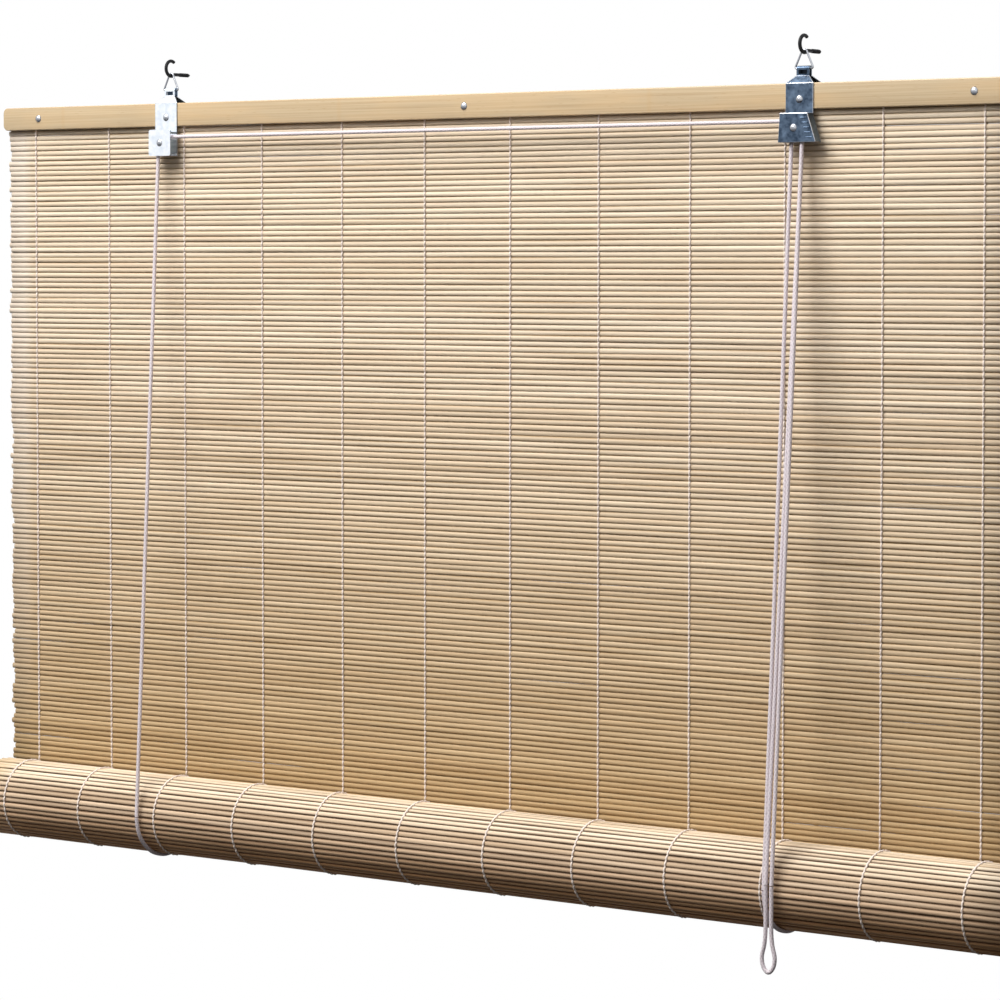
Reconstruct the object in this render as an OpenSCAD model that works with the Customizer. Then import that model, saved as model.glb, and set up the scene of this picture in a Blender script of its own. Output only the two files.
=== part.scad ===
// Reed roll-up blind: a mat of split bamboo reeds hung from a bamboo head rail,
// rolled up from below by two cord slings and held by a cord lock.
// X runs along the rail, the room side is -Y, +Z is up. The origin is on the wall,
// midway between the two screw hooks.

/* [Rail] */
// Length of the head rail
rail_len = 1000; // [820:10:1600]
// Height of the rail laths
rail_h = 19.5; // [16:0.5:30]
// Thickness of each rail lath
lath_t = 5; // [4:0.5:8]
// Corner radius of the rail laths
lath_corner_r = 4; // [1:0.5:7]
// Distance from each end nail to the rail's end
nail_inset = 41; // [10:1:60]
// Radius of the nail heads
nail_head_r = 3.2; // [1.8:0.1:4]
// Height of the nail domes
nail_head_h = 1.8; // [0.8:0.1:2]
// Radius of the nail shanks
nail_r = 0.9; // [0.6:0.1:1.4]
// How far the nails reach into the back lath
nail_bite = 3; // [1:0.5:3.5]

/* [Reed mat] */
// How far the reeds end short of the rail's ends
reed_inset = 5; // [0:0.5:20]
// Distance from one reed to the next
reed_pitch = 4.4; // [4:0.1:8]
// Thickness of a reed
reed_t = 2; // [1.4:0.1:2.6]
// Thickness of the wall between two reeds
web_t = 0.8; // [0.5:0.1:1.2]
// Open height of a gap between two reeds
reed_gap = 0.4; // [0.2:0.1:0.8]
// Most gaps cut through the mat
gap_max = 120; // [0:1:120]
// Hanging length from the rail to the middle of the roll
mat_drop = 577; // [560:1:900]
// Number of warp threads
thread_count = 12; // [6:1:12]
// Distance from the outer warp threads to the reeds' ends
thread_inset = 29.15; // [15:0.05:60]
// Width of a warp thread
thread_w = 1.4; // [0.8:0.1:2]
// Thickness of a warp thread
thread_t = 0.5; // [0.3:0.1:0.8]

/* [Roll] */
// Outer radius of the roll
roll_r = 34; // [26:0.5:36]
// Distance from one turn of the roll to the next
turn_pitch = 3.2; // [3:0.1:5]
// Height of the bottom laths in the roll's core
bottom_lath_h = 16; // [12:0.5:20]
// Thickness of each bottom lath
bottom_lath_t = 5; // [3:0.5:6]

// How far the roll has wandered along the rail, as in the photo
roll_shift = 22; // [-30:1:30]

/* [Hooks] */
// Distance between the two hooks
hook_spacing = 624; // [500:1:760]
// Distance from the wall to the hanging line
hook_reach = 14; // [13:0.5:30]
// Diameter of the hook wire
hook_wire = 2.8; // [1.8:0.1:3]
// Radius of the hook's bend at the middle of the wire
hook_bend_r = 6.4; // [5.5:0.1:9]
// Height of the bend's centre over the shank
hook_rise = 4.9; // [3:0.1:5]
// Angle over the shank at which the hook's tip stands
hook_tip_angle = 55; // [40:1:75]
// Length of the shank that goes into the wall
hook_thread = 8; // [5:0.5:25]
// Length of the shank's point
hook_point = 2; // [1:0.5:4]

/* [Rings] */
// Diameter of the ring wire
ring_wire = 1.6; // [1.2:0.1:2]
// Height of the ring at the middle of the wire
ring_h = 14.2; // [10:0.1:16]
// Width of the ring between its corner bends' centres
ring_w = 12.6; // [12.4:0.1:18]
// Radius of the ring's corner bends
ring_corner_r = 1.2; // [1.1:0.1:2]

/* [Hangers] */
// Thickness of the hanger sheet
sheet_t = 1; // [0.8:0.1:1.2]
// Width of the strap
strap_w = 24; // [22:0.5:30]
// Width of the strap's neck
neck_w = 11; // [8:0.5:11.5]
// Height of the neck over the rail
neck_h = 11; // [9:0.5:16]
// Length of the neck's upright part
neck_straight = 5.5; // [5:0.5:7]
// Width of the neck's window
window_w = 7.5; // [4:0.5:8]
// Height of the neck's window
window_h = 3.2; // [2:0.1:3.6]
// Depth of the strap rivet under the rail's top
rivet_depth = 12; // [9:0.5:12.5]
// Radius of the rivet shanks
rivet_r = 1.5; // [1:0.1:1.6]
// Radius of the rivet heads
rivet_head_r = 3.1; // [2.4:0.1:3.4]
// Height of the rivet domes
rivet_head_h = 1.7; // [1:0.1:2]
// Radius of the rivet tails
rivet_tail_r = 2.2; // [1.9:0.1:2.4]
// Height of the rivet tails
rivet_tail_h = 0.8; // [0.5:0.1:1.2]

/* [Guide box and cord lock] */
// Drop from the rail's foot to the boxes' tops
box_drop = 3; // [0.5:0.5:6]
// Height of the boxes
box_h = 22; // [20:0.5:28]
// Width of the guide box
box_w = 24; // [21:0.5:24]
// Clear depth inside the boxes
box_depth = 7.5; // [7.4:0.1:10]
// Corner radius of the guide box's front
box_corner_r = 2; // [1:0.5:4]
// Overhang of the lock's front at its left foot
lock_left_flare = 1.5; // [0:0.5:3]
// Overhang of the lock's slanted wall at its foot
lock_right_flare = 7.5; // [4:0.5:10]
// Number of ribs stamped beside the slanted wall
rib_count = 5; // [3:1:6]
// Length of a stamped rib
rib_len = 5; // [3:0.5:6]
// Radius of a stamped rib
rib_r = 0.6; // [0.4:0.1:0.8]
// Height of the cord openings in the side walls
cord_door_h = 5; // [4:0.5:6]

/* [Pulleys] */
// Radius of the pulley groove
groove_r = 3.2; // [2.6:0.1:3.4]
// Radius of the pulley flanges
flange_r = 5.6; // [5:0.1:6]
// Width of the pulley
pulley_w = 7; // [6.6:0.1:7.1]
// Thickness of a pulley flange
flange_t = 0.4; // [0.3:0.05:0.5]

/* [Cords] */
// Diameter of the cords
cord_d = 2.8; // [2:0.1:3]
// How far the left sling has gone along with the roll
left_sling_shift = 27; // [-30:1:30]
// How far the right sling has gone along with the roll
right_sling_shift = 17; // [-30:1:30]
// How far the pull loop has gone along with the roll
loop_shift = 13; // [-20:1:20]
// Radius of the knots behind the rail
knot_r = 3; // [2.4:0.1:3.4]

/* [Clearances] */
// Radial clearance of turning and riveted fits
run_clear = 0.05; // [0.02:0.01:0.1]
// Clearance of the rings in the straps
hinge_clear = 0.3; // [0.2:0.05:0.5]
// Gap where a ring rests on its hook
seat_gap = 0.1; // [0.05:0.05:0.2]
// Clearance between the roll and the mat behind it
roll_clear = 0.3; // [0.3:0.1:1]
// Clearance round the bottom laths in the roll's core
core_clear = 0.3; // [0.2:0.05:0.6]

/* [Hidden] */
$fn = 48;

// Colours
bamboo_lath = "#E2C79B";
bamboo_reed = "#DCC6A4";
thread_white = "#EFE9DF";
cord_white = "#E8E0DE";
zinc = "#AEB6C0";
hook_black = "#26262A";

// Heights and depths that the pieces share
nail_span = rail_len / 2 - nail_inset;
reed_len = rail_len - 2 * reed_inset;
thread_step = (reed_len - 2 * thread_inset) / (thread_count - 1);
hang_y = -hook_reach;
hook_x = hook_spacing / 2;
bend_z = hook_rise;
ring_top_z = bend_z - hook_bend_r + (hook_wire + ring_wire) / 2 + seat_gap;
ring_base_z = ring_top_z - ring_h;
rail_top = ring_base_z - neck_h;
rail_foot = rail_top - rail_h;
rail_mid = rail_top - rail_h / 2;
rail_half = reed_t / 2 + lath_t;
strap_front = hang_y - rail_half - sheet_t;
strap_back = hang_y + rail_half + sheet_t;
rivet_z = rail_top - rivet_depth;
box_top = rail_foot - box_drop;
box_foot = box_top - box_h;
axle_z = box_top - box_h / 2;
plate_back = strap_front - box_depth;
plate_front = plate_back - sheet_t;
pulley_y = (strap_front + plate_back) / 2;
roll_z = rail_foot - mat_drop;
thread_lift = pow(2 * reed_pitch, 2) / (8 * (roll_r - turn_pitch)) + seat_gap / 2;
roll_reach = roll_r + thread_lift + thread_t;
roll_y = hang_y - reed_t / 2 - thread_t - roll_clear - roll_reach;
cut = 1;

// Reeds of the hanging mat, counted from the roll upwards
reed_count = floor((rail_h + mat_drop) / reed_pitch);
mat_top = roll_z + reed_count * reed_pitch;
clamped_reeds = ceil((mat_top - rail_foot) / reed_pitch);
gap_count = min(gap_max, reed_count - clamped_reeds - 1);
crest_share = 0.28;

// Spiral of the roll: the middle line's radius grows by turn_pitch a turn, and its outer end
// stands wind_on degrees over the roll's middle, where the mat runs on to the roll
core_r = norm([bottom_lath_t, bottom_lath_h / 2]) + core_clear;
spiral_in = core_r + reed_t / 2;
spiral_out = roll_r - reed_t / 2;
spiral_k = turn_pitch / 360;
spiral_end = (spiral_out - spiral_in) / spiral_k;
wind_on = 5;
rad = PI / 180;
spiral_len = (spiral_in * spiral_end + spiral_k * spiral_end * spiral_end / 2) * rad;
roll_reeds = floor(spiral_len / reed_pitch);

// Angle along the spiral at a length measured from its inner end
function spiral_angle(s) =
    (-spiral_in + sqrt(spiral_in * spiral_in + 2 * spiral_k * s / rad)) / spiral_k;

// Point of the spiral, set off outwards from its middle line
function spiral_point(s, off) =
    let (a = spiral_angle(s), r = spiral_in + spiral_k * a + off, phi = a - spiral_end + wind_on)
    [roll_y + r * cos(phi), roll_z + r * sin(phi)];

// Lengths along the spiral at the foot, first crest and last crest of reed j, from outside in
function reed_foot(j) = spiral_len - j * reed_pitch;
function reed_crest(j, share) = spiral_len - (j + share) * reed_pitch;
crest_a = 0.5 - crest_share;
crest_b = 0.5 + crest_share;

// One edge of the rolled mat: side is 1 outside and -1 inside
function rolled_edge(side, count) = [
    for (j = [0:count - 1], k = [0:2])
        k == 0 ? spiral_point(reed_foot(j), side * web_t / 2)
        : spiral_point(reed_crest(j, k == 1 ? crest_a : crest_b), side * reed_t / 2)
];

function reversed(list) = [for (i = [len(list) - 1:-1:0]) list[i]];

// One edge of the hanging mat, from the top down
function hung_edge(side) = [
    for (j = [0:reed_count - 1], k = [0:2])
        let (share = k == 0 ? 0 : k == 1 ? crest_a : crest_b)
        [hang_y + side * (k == 0 ? web_t : reed_t) / 2, mat_top - (j + share) * reed_pitch]
];

// Ring geometry in its own plane
ring_apex_r = (hook_wire + ring_wire) / 2 + seat_gap;
apex_c = [0, ring_top_z - ring_apex_r];
corner_c = [ring_w / 2, ring_base_z + ring_corner_r];
side_v = corner_c - apex_c;
side_turn = acos((ring_apex_r - ring_corner_r) / norm(side_v));
side_normal = atan2(side_v[1], side_v[0]) + side_turn;
function on_circle(c, r, a) = c + r * [cos(a), sin(a)];

// Hook geometry: the bend runs on below until it meets the shank's line
shank_angle = asin(hook_rise / hook_bend_r);
shank_start = hang_y + hook_bend_r * cos(shank_angle);

// Cord routes
cord_r = cord_d / 2;
cord_sides = 8;
lift_x = groove_r + cord_r + hinge_clear;
left_lift_x = -hook_x - lift_x;
right_lift_x = hook_x - lift_x;
pull_x = hook_x + lift_x;
cord_apart = 1.55;
rear_lane = pulley_y + cord_apart;
front_lane = pulley_y - cord_apart;
wrap_steps = 5;
join_gap = 0.6;

// Side view of a sling round the roll, from front to back, about the roll's middle
sling_route = [
    [-36.5, 0], [-35.5, -9.5], [-32, -18.5], [-26, -26], [-18.5, -32], [-9.5, -35.5], [0, -37],
    [10, -36], [19, -32.5], [27.5, -27], [34, -19], [38.5, -10], [40, 0]
];
sling_front = sling_route[0];
sling_back = sling_route[len(sling_route) - 1];

// Front view of the pull loop about its middle, from one strand down and up to the other
loop_route = [
    [-2.5, 4], [-2.5, -30], [-3.5, -40], [-5.5, -48], [-5, -54], [-3, -58], [0, -60],
    [3, -58], [5, -54], [5.5, -48], [3.5, -40], [2.5, -30], [2.5, 4]
];
loop_mid_x = hook_x + 4 + loop_shift;
loop_y = roll_y - 37.5;
strand_spread = 0.8;

// Quarter or half turn of cord over a pulley, from angle a0 to a1
function over_pulley(x, y, a0, a1) = [
    for (i = [0:wrap_steps])
        let (a = a0 + (a1 - a0) * i / wrap_steps)
        [x + lift_x * cos(a), y, axle_z + lift_x * sin(a)]
];

function unit(v) = v / norm(v);

// Direction of a route at point i
function heading(route, i) =
    unit(route[min(i + 1, len(route) - 1)] - route[max(i - 1, 0)]);

// Ring of points round a route's point; across is a direction that the route never takes
function cord_ring(route, i, across) =
    let (t = heading(route, i), u = unit(cross(t, across)), v = cross(t, u))
    [for (k = [0:cord_sides - 1])
        let (a = 360 * k / cord_sides)
        route[i] + cord_r * (cos(a) * u + sin(a) * v)];

// Tube of cord along a route
module cord(route, across) {
    n = len(route);
    points = [for (i = [0:n - 1]) each cord_ring(route, i, across)];
    sides = [
        for (i = [0:n - 2], k = [0:cord_sides - 1])
            let (a = i * cord_sides + k, b = i * cord_sides + (k + 1) % cord_sides)
            [a, b, b + cord_sides, a + cord_sides]
    ];
    first_cap = [for (k = [cord_sides - 1:-1:0]) k];
    last_cap = [for (k = [0:cord_sides - 1]) (n - 1) * cord_sides + k];
    color(cord_white)
        polyhedron(points, concat(sides, [first_cap, last_cap]));
}

// Flat plate with round corners, centred, standing in the XZ plane; its front is at -t
module upright_plate(w, h, r, t) {
    rotate([90, 0, 0])
        linear_extrude(t) {
            square([w - 2 * r, h], center = true);
            square([w, h - 2 * r], center = true);
            for (x = [-1, 1], y = [-1, 1])
                translate([x * (w / 2 - r), y * (h / 2 - r)])
                    circle(r);
        }
}

// Solid made by running a side view of [y, z] points along X, centred
module along_x(length) {
    translate([-length / 2, 0, 0])
        rotate([90, 0, 90])
            linear_extrude(length)
                children();
}

// Solid made by running a front view of [x, z] points from y = front to y = back
module through_y(front, back) {
    translate([0, back, 0])
        rotate([90, 0, 0])
            linear_extrude(back - front)
                children();
}

// Round bar along Y
module bar_y(x, z, r, front, back) {
    translate([x, back, z])
        rotate([90, 0, 0])
            cylinder(r = r, h = back - front);
}

// Domed head that stands out towards -Y from y = base
module dome_y(x, z, r, h, base) {
    ball_r = (r * r + h * h) / (2 * h);
    intersection() {
        translate([x, base - h + ball_r, z])
            sphere(r = ball_r);
        bar_y(x, z, r + cut, base - h - cut, base);
    }
}

// Holes along Y through the whole rail, for the strap rivets
module rivet_holes() {
    for (x = [-hook_x, hook_x])
        bar_y(x, rivet_z, rivet_r + run_clear, strap_front - cut, strap_back + cut);
}

nail_tip = hang_y + reed_t / 2 + nail_bite;

// Holes for the three rail nails
module nail_holes() {
    for (x = [-nail_span, 0, nail_span])
        bar_y(x, rail_mid, nail_r + run_clear, strap_front - cut, nail_tip + run_clear);
}

module front_lath() {
    color(bamboo_lath)
        difference() {
            translate([0, hang_y - reed_t / 2, rail_mid])
                upright_plate(rail_len, rail_h, lath_corner_r, lath_t);
            rivet_holes();
            nail_holes();
        }
}

module back_lath() {
    color(bamboo_lath)
        difference() {
            translate([0, hang_y + rail_half, rail_mid])
                upright_plate(rail_len, rail_h, lath_corner_r, lath_t);
            rivet_holes();
            nail_holes();
        }
}

module rail_nails() {
    color(zinc)
        for (x = [-nail_span, 0, nail_span]) {
            dome_y(x, rail_mid, nail_head_r, nail_head_h, hang_y - rail_half);
            bar_y(x, rail_mid, nail_r, hang_y - rail_half, nail_tip);
        }
}

module hanging_mat() {
    gap_len = (thread_count - 1) * thread_step;
    mat_foot_edge = [[hang_y + web_t / 2, roll_z], [hang_y - web_t / 2, roll_z]];
    color(bamboo_reed)
        difference() {
            along_x(reed_len)
                polygon(concat(hung_edge(1), mat_foot_edge, reversed(hung_edge(-1))));
            for (i = [1:gap_count])
                translate([0, hang_y, mat_top - (clamped_reeds + i) * reed_pitch])
                    cube([gap_len, reed_t + cut, reed_gap], center = true);
            rivet_holes();
            nail_holes();
        }
}

module warp_threads() {
    color(thread_white)
        for (i = [0:thread_count - 1], side = [-1, 1])
            translate([
                (i - (thread_count - 1) / 2) * thread_step,
                hang_y + side * (reed_t + thread_t) / 2,
                (rail_foot + roll_z) / 2
            ])
                cube([thread_w, thread_t, mat_drop], center = true);
}

module roll() {
    last = [for (side = [1, -1]) spiral_point(reed_foot(roll_reeds), side * web_t / 2)];
    color(bamboo_reed)
        translate([roll_shift, 0, 0])
            along_x(reed_len)
                polygon(concat(
                    rolled_edge(1, roll_reeds), last, reversed(rolled_edge(-1, roll_reeds))));
}

// Bands of thread round the outer turn, one straight stretch for every two reeds
module roll_threads() {
    turn_reeds = floor(2 * PI * spiral_out / reed_pitch);
    crests = [for (j = [0:2:turn_reeds - 1]) reed_crest(j, crest_a)];
    inner = [for (s = crests) spiral_point(s, reed_t / 2 + thread_lift)];
    outer = [for (s = crests) spiral_point(s, reed_t / 2 + thread_lift + thread_t)];
    color(thread_white)
        for (i = [0:thread_count - 1])
            translate([roll_shift + (i - (thread_count - 1) / 2) * thread_step, 0, 0])
                along_x(thread_w)
                    polygon(concat(inner, reversed(outer)));
}

// Bottom lath whose front face is at y = front
module bottom_lath(front) {
    difference() {
        translate([roll_shift, front + bottom_lath_t, roll_z])
            upright_plate(rail_len, bottom_lath_h, lath_corner_r, bottom_lath_t);
        for (x = [-nail_span, 0, nail_span])
            bar_y(roll_shift + x, roll_z, nail_r + run_clear, roll_y - bottom_lath_t - cut,
                roll_y + nail_bite + run_clear);
    }
}

module front_bottom_lath() {
    color(bamboo_lath)
        bottom_lath(roll_y - bottom_lath_t);
}

module back_bottom_lath() {
    color(bamboo_lath)
        bottom_lath(roll_y);
}

module bottom_nails() {
    color(zinc)
        for (x = [-nail_span, 0, nail_span]) {
            dome_y(roll_shift + x, roll_z, nail_head_r, nail_head_h, roll_y - bottom_lath_t);
            bar_y(roll_shift + x, roll_z, nail_r, roll_y - bottom_lath_t, roll_y + nail_bite);
        }
}

// Bend of round wire in the YZ plane about [y, z], from angle a0 up to a1
module bend_yz(centre, r, wire, a0, a1) {
    translate([0, centre[0], centre[1]])
        rotate([90, 0, 90])
            rotate([0, 0, a0])
                rotate_extrude(angle = a1 - a0)
                    translate([r, 0])
                        circle(d = wire);
}

// Screw hook in the plane at x: pointed shank into the wall and an open hook in front of it
module screw_hook(x) {
    color(hook_black)
        translate([x, 0, 0]) {
            bar_y(0, 0, hook_wire / 2, shank_start, hook_thread);
            translate([0, hook_thread, 0])
                rotate([-90, 0, 0])
                    cylinder(r1 = hook_wire / 2, r2 = hook_wire / 8, h = hook_point);
            bend_yz([hang_y, bend_z], hook_bend_r, hook_wire, hook_tip_angle, 360 - shank_angle);
        }
}

module left_hook() {
    screw_hook(-hook_x);
}

module right_hook() {
    screw_hook(hook_x);
}

// Bend of round wire in the XZ plane about c = [x, z], from angle a0 up to a1
module bend_xz(c, r, wire, a0, a1) {
    translate([c[0], 0, c[1]])
        rotate([90, 0, 0])
            rotate([0, 0, a0])
                rotate_extrude(angle = a1 - a0)
                    translate([r, 0])
                        circle(d = wire);
}

// Straight round wire in the XZ plane from p to q
module wire_xz(p, q, wire) {
    translate([p[0], 0, p[1]])
        rotate([0, 90 - atan2(q[1] - p[1], q[0] - p[0]), 0])
            cylinder(d = wire, h = norm(q - p));
}

// Triangle ring of bent wire: apex, two sides, two corners and the base
module wire_ring(x) {
    left_corner = [-corner_c[0], corner_c[1]];
    left_normal = 180 - side_normal;
    color(zinc)
        translate([x, hang_y, 0]) {
            bend_xz(apex_c, ring_apex_r, ring_wire, side_normal, left_normal);
            wire_xz(on_circle(apex_c, ring_apex_r, side_normal),
                on_circle(corner_c, ring_corner_r, side_normal), ring_wire);
            wire_xz(on_circle(apex_c, ring_apex_r, left_normal),
                on_circle(left_corner, ring_corner_r, left_normal), ring_wire);
            bend_xz(corner_c, ring_corner_r, ring_wire, -90, side_normal);
            bend_xz(left_corner, ring_corner_r, ring_wire, left_normal, 270);
            wire_xz([left_corner[0], ring_base_z], [corner_c[0], ring_base_z], ring_wire);
        }
}

module left_ring() {
    wire_ring(-hook_x);
}

module right_ring() {
    wire_ring(hook_x);
}

// Side view of the space in the strap, or of its outside when grown by the sheet
module strap_loop(grow, foot) {
    fold_r = ring_wire / 2 + hinge_clear + grow;
    neck_foot = ring_base_z - neck_straight;
    translate([hang_y, ring_base_z])
        circle(fold_r);
    polygon([
        [hang_y - fold_r, ring_base_z],
        [hang_y - fold_r, neck_foot],
        [hang_y - rail_half - grow, rail_top],
        [hang_y - rail_half - grow, foot],
        [hang_y + rail_half + grow, foot],
        [hang_y + rail_half + grow, rail_top],
        [hang_y + fold_r, neck_foot],
        [hang_y + fold_r, ring_base_z]
    ]);
}

// Side view of the strap: a fold round the ring's base wire and two legs over the rail
module strap_side_view(front_foot, back_foot) {
    difference() {
        strap_loop(sheet_t, front_foot);
        strap_loop(0, front_foot - cut);
        translate([hang_y, front_foot - cut])
            square([rail_half + sheet_t + cut, back_foot - front_foot + cut]);
    }
}

// Front view of the strap: narrow neck, shoulders, full width over the rail
module strap_front_view() {
    shoulder_z = ring_base_z - neck_straight;
    fold_out = ring_wire / 2 + hinge_clear + sheet_t;
    polygon([
        [-neck_w / 2, ring_base_z + fold_out + cut],
        [neck_w / 2, ring_base_z + fold_out + cut],
        [neck_w / 2, shoulder_z],
        [strap_w / 2, rail_top],
        [strap_w / 2, box_foot],
        [-strap_w / 2, box_foot],
        [-strap_w / 2, rail_top],
        [-neck_w / 2, shoulder_z]
    ]);
}

module hanger_strap(x) {
    window_top = ring_base_z - sheet_t;
    color(zinc)
        translate([x, 0, 0])
            difference() {
                intersection() {
                    along_x(strap_w)
                        strap_side_view(box_foot, rail_foot);
                    through_y(strap_front - cut, strap_back + cut)
                        strap_front_view();
                }
                through_y(strap_front, hang_y)
                    translate([-window_w / 2, window_top - window_h])
                        square([window_w, window_h]);
                bar_y(0, rivet_z, rivet_r + run_clear, strap_front - cut, strap_back + cut);
                bar_y(0, axle_z, rivet_r + run_clear, strap_front - cut, hang_y);
            }
}

module left_strap() {
    hanger_strap(-hook_x);
}

module right_strap() {
    hanger_strap(hook_x);
}

// Rivet along Y with a domed head at the front and a flat tail at the back
module rivet(x, z, front, back) {
    color(zinc) {
        dome_y(x, z, rivet_head_r, rivet_head_h, front);
        bar_y(x, z, rivet_r, front, back);
        bar_y(x, z, rivet_tail_r, back, back + rivet_tail_h);
    }
}

module left_strap_rivet() {
    rivet(-hook_x, rivet_z, strap_front, strap_back);
}

module right_strap_rivet() {
    rivet(hook_x, rivet_z, strap_front, strap_back);
}

module left_axle_rivet() {
    rivet(-hook_x, axle_z, plate_front, strap_front + sheet_t);
}

module right_axle_rivet() {
    rivet(hook_x, axle_z, plate_front, strap_front + sheet_t);
}

// Opening in a side wall for the cross cord, at the height of the pulley's top
module cord_door(x) {
    translate([x, pulley_y, axle_z + lift_x])
        cube([2 * box_depth, box_depth + cut, cord_door_h], center = true);
}

// Guide box: a folded channel, open above and below, held by the pulley's rivet
module left_guide_box() {
    color(zinc)
        translate([-hook_x, 0, 0])
            difference() {
                union() {
                    translate([0, plate_back, axle_z])
                        upright_plate(box_w, box_h, box_corner_r, sheet_t);
                    for (side = [-1, 1])
                        translate([side * (box_w - sheet_t) / 2, pulley_y, axle_z])
                            cube([sheet_t, box_depth, box_h - 2 * box_corner_r], center = true);
                }
                bar_y(0, axle_z, rivet_r + run_clear, plate_front - cut, plate_back + cut);
                cord_door(box_w / 2);
            }
}

// Cord lock: a flared housing whose slanted, ribbed wall jams the cords
module right_cord_lock() {
    half = strap_w / 2;
    top_l = [-half, box_top];
    top_r = [half, box_top];
    foot_l = [-half - lock_left_flare, box_foot];
    foot_r = [half + lock_right_flare, box_foot];
    wall_l = [sheet_t / cos(atan2(lock_left_flare, box_h)), 0];
    wall_r = [sheet_t / cos(atan2(lock_right_flare, box_h)), 0];
    color(zinc)
        translate([hook_x, 0, 0])
            difference() {
                union() {
                    through_y(plate_front, plate_back)
                        polygon([top_l, top_r, foot_r, foot_l]);
                    through_y(plate_back, strap_front) {
                        polygon([top_r - wall_r, top_r, foot_r, foot_r - wall_r]);
                        polygon([top_l, top_l + wall_l, foot_l + wall_l, foot_l]);
                    }
                    for (i = [1:rib_count]) {
                        share = i / (rib_count + 1);
                        edge = top_r + share * (foot_r - top_r);
                        translate([edge[0] - rib_len - 2 * sheet_t, plate_front, edge[1]])
                            rotate([0, 90, 0])
                                cylinder(r = rib_r, h = rib_len);
                        bar_y(edge[0] - wall_r[0], edge[1], rib_r, plate_back, strap_front);
                    }
                }
                bar_y(0, axle_z, rivet_r + run_clear, plate_front - cut, plate_back + cut);
                cord_door(-half - lock_left_flare / 2);
            }
}

// Grooved pulley on its rivet
module pulley(x) {
    bore_r = rivet_r + run_clear;
    half = pulley_w / 2;
    color(zinc)
        translate([x, pulley_y, axle_z])
            rotate([90, 0, 0])
                rotate_extrude()
                    polygon([
                        [bore_r, -half], [flange_r, -half], [flange_r, flange_t - half],
                        [groove_r, flange_t - half], [groove_r, half - flange_t],
                        [flange_r, half - flange_t], [flange_r, half], [bore_r, half]
                    ]);
}

module left_pulley() {
    pulley(-hook_x);
}

module right_pulley() {
    pulley(hook_x);
}

knot_y = strap_back + knot_r - 2 * seat_gap;
knot_z = rail_top - knot_r - 1.5;

// Knot at the end of a lift cord, drawn up against the strap's back leg
module knot(x) {
    color(cord_white)
        intersection() {
            translate([x, knot_y, knot_z])
                sphere(r = knot_r);
            bar_y(x, knot_z, knot_r + cut, strap_back, knot_y + knot_r + cut);
        }
}

module left_knot() {
    knot(left_lift_x);
}

module right_knot() {
    knot(right_lift_x);
}

module cross_cord() {
    cord(concat(
        reversed(over_pulley(-hook_x, pulley_y, 90, 180)),
        over_pulley(hook_x, front_lane, 90, 0)), [0, 1, 0]);
}

// Front run of a lift cord, from its pulley down to the sling
module front_cord(x, y, shift) {
    cord([
        [x, y, axle_z - seat_gap],
        [x + shift, roll_y + sling_front[0], roll_z + sling_front[1] + join_gap]
    ], [1, 0, 0]);
}

module left_front_cord() {
    front_cord(left_lift_x, pulley_y, left_sling_shift);
}

module right_front_cord() {
    front_cord(right_lift_x, rear_lane, right_sling_shift);
}

// Sling of a lift cord under the roll
module sling_cord(x) {
    cord([for (p = sling_route) [x, roll_y + p[0], roll_z + p[1]]], [1, 0, 0]);
}

module left_sling_cord() {
    sling_cord(left_lift_x + left_sling_shift);
}

module right_sling_cord() {
    sling_cord(right_lift_x + right_sling_shift);
}

// Back run of a lift cord, from the sling up behind the mat to its knot
module back_cord(x, shift) {
    cord([
        [x + shift, roll_y + sling_back[0], roll_z + sling_back[1] + join_gap],
        [x, knot_y, knot_z - knot_r]
    ], [1, 0, 0]);
}

module left_back_cord() {
    back_cord(left_lift_x, left_sling_shift);
}

module right_back_cord() {
    back_cord(right_lift_x, right_sling_shift);
}

// Free strand from the lock to the loop's end at index i, leaving the housing at lane y
function free_strand(y, spread, i) = [
    [pull_x + spread, y, box_foot],
    [loop_mid_x + loop_route[i][0], loop_y, roll_z + loop_route[i][1] + join_gap]
];

module pull_strand_a() {
    cord(concat(
        over_pulley(hook_x, rear_lane, 180, 0),
        free_strand(rear_lane, -strand_spread, 0)), [0, 1, 0]);
}

module pull_strand_b() {
    cord(concat(
        [[pull_x, front_lane, axle_z - seat_gap]],
        free_strand(front_lane, strand_spread, len(loop_route) - 1)), [1, 0, 0]);
}

module pull_loop() {
    cord([for (p = loop_route) [loop_mid_x + p[0], loop_y, roll_z + p[1]]], [0, 1, 0]);
}

front_lath();
back_lath();
rail_nails();
hanging_mat();
warp_threads();
roll();
roll_threads();
front_bottom_lath();
back_bottom_lath();
bottom_nails();
left_hook();
right_hook();
left_ring();
right_ring();
left_strap();
right_strap();
left_strap_rivet();
right_strap_rivet();
left_guide_box();
right_cord_lock();
left_pulley();
right_pulley();
left_axle_rivet();
right_axle_rivet();
left_knot();
right_knot();
cross_cord();
left_front_cord();
left_sling_cord();
left_back_cord();
right_front_cord();
right_sling_cord();
right_back_cord();
pull_strand_a();
pull_strand_b();
pull_loop();
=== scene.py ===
import math

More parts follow.
